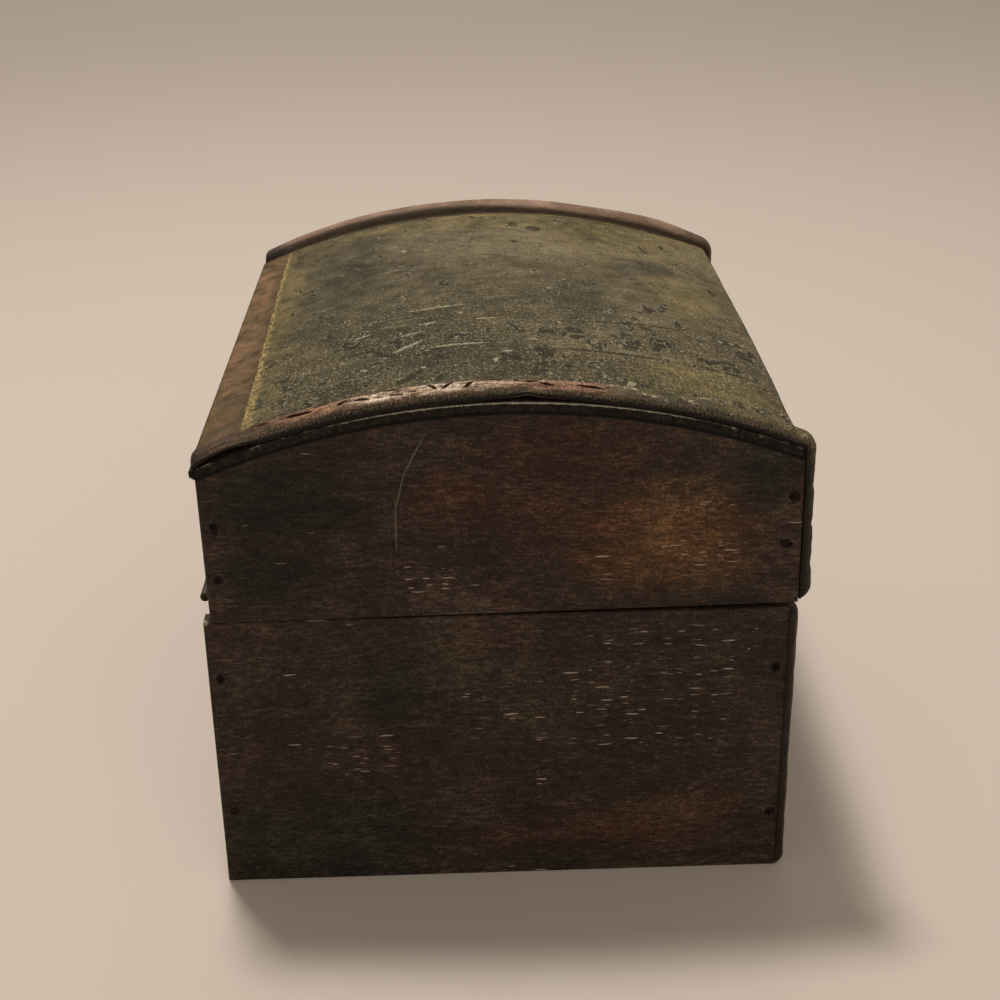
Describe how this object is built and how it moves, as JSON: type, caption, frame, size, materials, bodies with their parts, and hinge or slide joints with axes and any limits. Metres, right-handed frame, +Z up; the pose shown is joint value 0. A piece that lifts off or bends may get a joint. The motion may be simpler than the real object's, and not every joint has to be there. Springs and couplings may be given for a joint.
{
  "type": "treasure chest",
  "caption": "Small wooden keepsake chest with a domed lid on butt hinges, tooled leather over its lid and front, raised leather edging, and a swing hook at the front.",
  "frame": {"origin": "middle of the end boards' depth and of the length, at the underside", "axes": "+X along the length, -Y out of the front, +Z up"},
  "size_m": [0.1638, 0.1383, 0.1233],
  "materials": {
    "stained_wood": "dark stained, worn and nicked",
    "green_leather": "tooled, grey-green, rubbed",
    "brown_leather": "brown, rounded, cracked and rubbed",
    "rusty_iron": "dark and rusty",
    "worn_steel": "dull, tarnished",
    "aged_brass": "dull, darkened"
  },
  "bodies": {
    "chest_body": {"body_end_left": "stained_wood", "body_end_right": "stained_wood", "body_front_board": "stained_wood", "body_back_board": "stained_wood", "body_bottom_board": "stained_wood", "body_front_skin": "green_leather", "body_edging_left": "brown_leather", "body_edging_right": "brown_leather", "body_nails": "rusty_iron", "bottom_nails": "rusty_iron", "hinge_body_leaf_left": "worn_steel", "hinge_body_leaf_right": "worn_steel", "hinge_pin_left": "worn_steel", "hinge_pin_right": "worn_steel", "hinge_body_tacks": "rusty_iron", "clasp_stud": "aged_brass"},
    "chest_lid": {"lid_end_left": "stained_wood", "lid_end_right": "stained_wood", "lid_front_board": "stained_wood", "lid_back_board": "stained_wood", "lid_top_board": "stained_wood", "lid_skin": "green_leather", "lid_edging_left": "brown_leather", "lid_edging_right": "brown_leather", "lid_nails": "rusty_iron", "hinge_lid_leaf_left": "worn_steel", "hinge_lid_leaf_right": "worn_steel", "hinge_lid_tacks": "rusty_iron", "clasp_pivot": "aged_brass"},
    "hook": {"clasp_hook": "aged_brass"}
  },
  "joints": [
    {"name": "lid_hinge", "type": "hinge", "parent": "chest_body", "child": "chest_lid", "pos_m": [0, 0.0662, 0.06905], "axis": [-1, 0, 0], "range_deg": [0, 180]},
    {"name": "hook_swing", "type": "hinge", "parent": "chest_lid", "child": "hook", "pos_m": [-0.00373, -0.06839, 0.07639], "axis": [0, -1, 0.0096], "range_deg": [-180, 35]}
  ]
}
